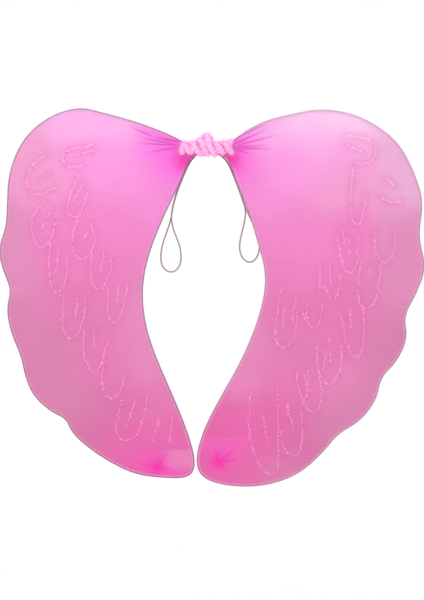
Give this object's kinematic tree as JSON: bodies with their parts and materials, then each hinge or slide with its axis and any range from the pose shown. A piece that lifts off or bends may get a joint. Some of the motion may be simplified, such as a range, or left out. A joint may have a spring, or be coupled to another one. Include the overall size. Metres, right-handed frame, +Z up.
{
  "type": "fairy wings",
  "caption": "Pair of wire-framed pink nylon fairy wings with a fluffy hub, glitter glue feathers and two elastic shoulder loops.",
  "frame": {"origin": "the back of the hub, where it rests between the wearer's shoulder blades", "axes": "+Z up, +X to the right as seen from the decorated side, which faces -Y; the wearer is at +Y"},
  "size_m": [0.5045, 0.0255, 0.4488],
  "materials": {
    "nylon": "satin",
    "wire": "satin",
    "fluff": "matte",
    "tape": "satin",
    "thread": "matte",
    "glitter_glue": "gloss",
    "elastic": "matte"
  },
  "bodies": {
    "hub": {"hub_binding_tape": "tape", "hub_fluffy_trim": "fluff", "left_wire_ends": "wire", "left_elastic_hitch": "elastic", "right_wire_ends": "wire", "right_elastic_hitch": "elastic"},
    "left_wing": {"left_wing_wire": "wire", "left_wing_nylon": "nylon", "left_root_gather": "nylon", "left_root_thread": "thread", "left_neck_fluff": "fluff", "left_tip_gather": "nylon", "left_tip_thread": "thread", "left_glitter_lines": "glitter_glue"},
    "right_wing": {"right_wing_wire": "wire", "right_wing_nylon": "nylon", "right_root_gather": "nylon", "right_root_thread": "thread", "right_neck_fluff": "fluff", "right_tip_gather": "nylon", "right_tip_thread": "thread", "right_glitter_lines": "glitter_glue"},
    "left_strap": {"left_shoulder_elastic": "elastic", "left_elastic_knot": "elastic"},
    "right_strap": {"right_shoulder_elastic": "elastic", "right_elastic_knot": "elastic"}
  },
  "joints": [
    {"name": "left_wing_fold", "type": "hinge", "parent": "hub", "child": "left_wing", "pos_m": [-0.019, -0.009, 0], "axis": [0, 0, 1], "range_deg": [-10, 80]},
    {"name": "right_wing_fold", "type": "hinge", "parent": "hub", "child": "right_wing", "pos_m": [0.02, -0.009, 0], "axis": [0, 0, -1], "range_deg": [-10, 80]},
    {"name": "left_strap_swing", "type": "hinge", "parent": "hub", "child": "left_strap", "pos_m": [-0.007, 0.0047, 0], "axis": [1, 0, 0], "range_deg": [0, 150]},
    {"name": "right_strap_swing", "type": "hinge", "parent": "hub", "child": "right_strap", "pos_m": [0.008, 0.0047, 0], "axis": [1, 0, 0], "range_deg": [0, 150]}
  ]
}
